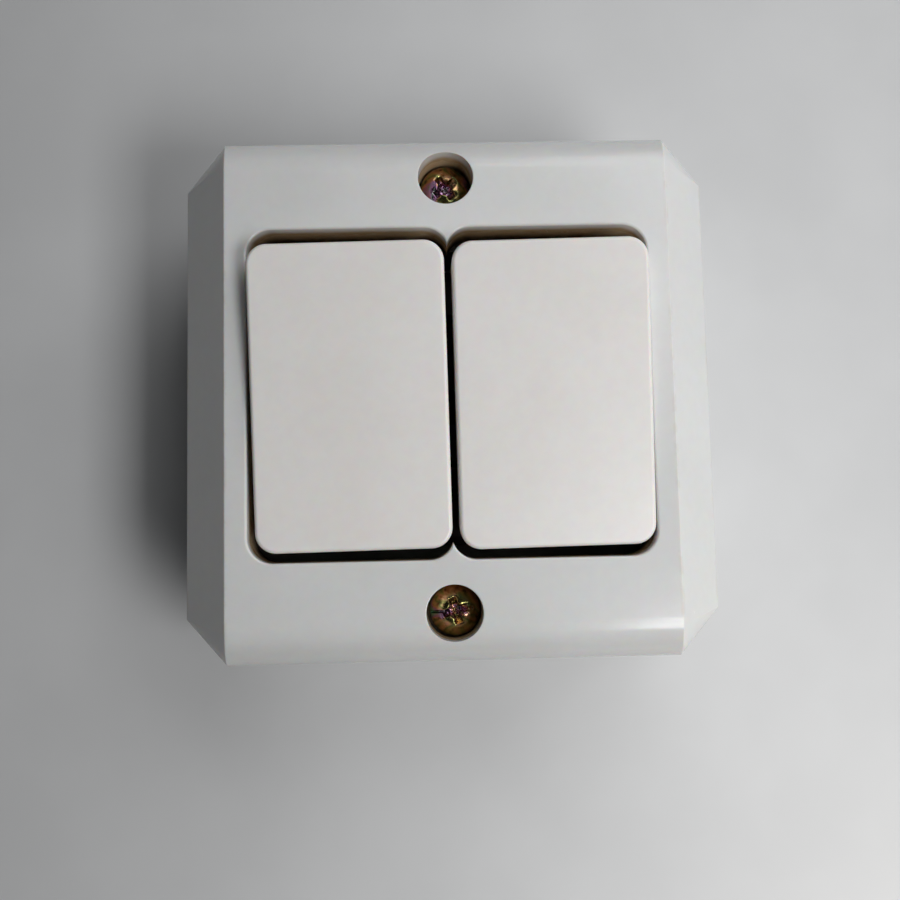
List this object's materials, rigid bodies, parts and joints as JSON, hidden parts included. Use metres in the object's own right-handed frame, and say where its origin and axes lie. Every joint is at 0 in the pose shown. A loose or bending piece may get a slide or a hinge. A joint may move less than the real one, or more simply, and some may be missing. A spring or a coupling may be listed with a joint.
{
  "type": "rocker wall switch",
  "caption": "Surface-mounted wall switch with side-by-side rockers in a bevelled cover, each rocker tipping a see-saw contact through a sprung plunger.",
  "frame": {"origin": "centre of the flat back face, the face that lies against the wall", "axes": "+Z out of the front towards the user, +Y towards the top of the switch, +X to the right seen from the front"},
  "size_m": [0.0688, 0.0682, 0.0336],
  "materials": {
    "cover_plastic": "pale grey-white moulded plastic, satin gloss",
    "rocker_plastic": "warm white moulded plastic, satin",
    "base_plastic": "light grey moulded plastic, matte",
    "block_plastic": "dark brown phenolic moulding, matte",
    "plunger_plastic": "natural nylon",
    "zinc_screw": "yellow-passivated zinc on steel, iridescent",
    "brass_strip": "stamped brass",
    "contact_silver": "silver contact rivet",
    "spring_steel": "bright spring wire"
  },
  "bodies": {
    "housing": {"base": "base_plastic", "contact_block": "block_plastic", "cover": "cover_plastic", "cover_screw_top": "zinc_screw", "cover_nut_top": "brass_strip", "block_screw_top": "zinc_screw", "cover_screw_bottom": "zinc_screw", "cover_nut_bottom": "brass_strip", "block_screw_bottom": "zinc_screw", "common_strip": "brass_strip", "common_terminal": "brass_strip", "common_terminal_screw": "zinc_screw", "switched_strip_left": "brass_strip", "fixed_contact_left": "contact_silver", "switched_terminal_left": "brass_strip", "switched_terminal_screw_left": "zinc_screw", "switched_strip_right": "brass_strip", "fixed_contact_right": "contact_silver", "switched_terminal_right": "brass_strip", "switched_terminal_screw_right": "zinc_screw"},
    "left_rocker": {"rocker_left": "rocker_plastic", "spring_left": "spring_steel"},
    "left_plunger": {"plunger_left": "plunger_plastic"},
    "left_seesaw": {"seesaw_left": "brass_strip", "moving_contact_left": "contact_silver"},
    "right_rocker": {"rocker_right": "rocker_plastic", "spring_right": "spring_steel"},
    "right_plunger": {"plunger_right": "plunger_plastic"},
    "right_seesaw": {"seesaw_right": "brass_strip", "moving_contact_right": "contact_silver"}
  },
  "joints": [
    {"name": "left_rocker_swing", "type": "hinge", "parent": "housing", "child": "left_rocker", "pos_m": [-0.01248, 0, 0.024], "axis": [1, 0, 0], "range_deg": [-11.5, 0]},
    {"name": "left_seesaw_tilt", "type": "hinge", "parent": "housing", "child": "left_seesaw", "pos_m": [-0.01248, 0, 0.0116], "axis": [1, 0, 0], "range_deg": [0, 18.4]},
    {"name": "left_plunger_slide", "type": "slide", "parent": "left_rocker", "child": "left_plunger", "axis": [0, -0.1002, 0.995], "range_m": [0, 0.0008], "stiffness_N_per_m": 500, "springref_m": -0.002, "deforming": ["spring_left"]},
    {"name": "right_rocker_swing", "type": "hinge", "parent": "housing", "child": "right_rocker", "pos_m": [0.01292, 0, 0.024], "axis": [1, 0, 0], "range_deg": [-11.5, 0]},
    {"name": "right_seesaw_tilt", "type": "hinge", "parent": "housing", "child": "right_seesaw", "pos_m": [0.01292, 0, 0.0116], "axis": [1, 0, 0], "range_deg": [0, 18.4]},
    {"name": "right_plunger_slide", "type": "slide", "parent": "right_rocker", "child": "right_plunger", "axis": [0, -0.1002, 0.995], "range_m": [0, 0.0008], "stiffness_N_per_m": 500, "springref_m": -0.002, "deforming": ["spring_right"]}
  ],
  "couplings": [
    {"joint": "left_seesaw_tilt", "follows": "left_rocker_swing", "ratio": -1.6},
    {"joint": "right_seesaw_tilt", "follows": "right_rocker_swing", "ratio": -1.6}
  ]
}
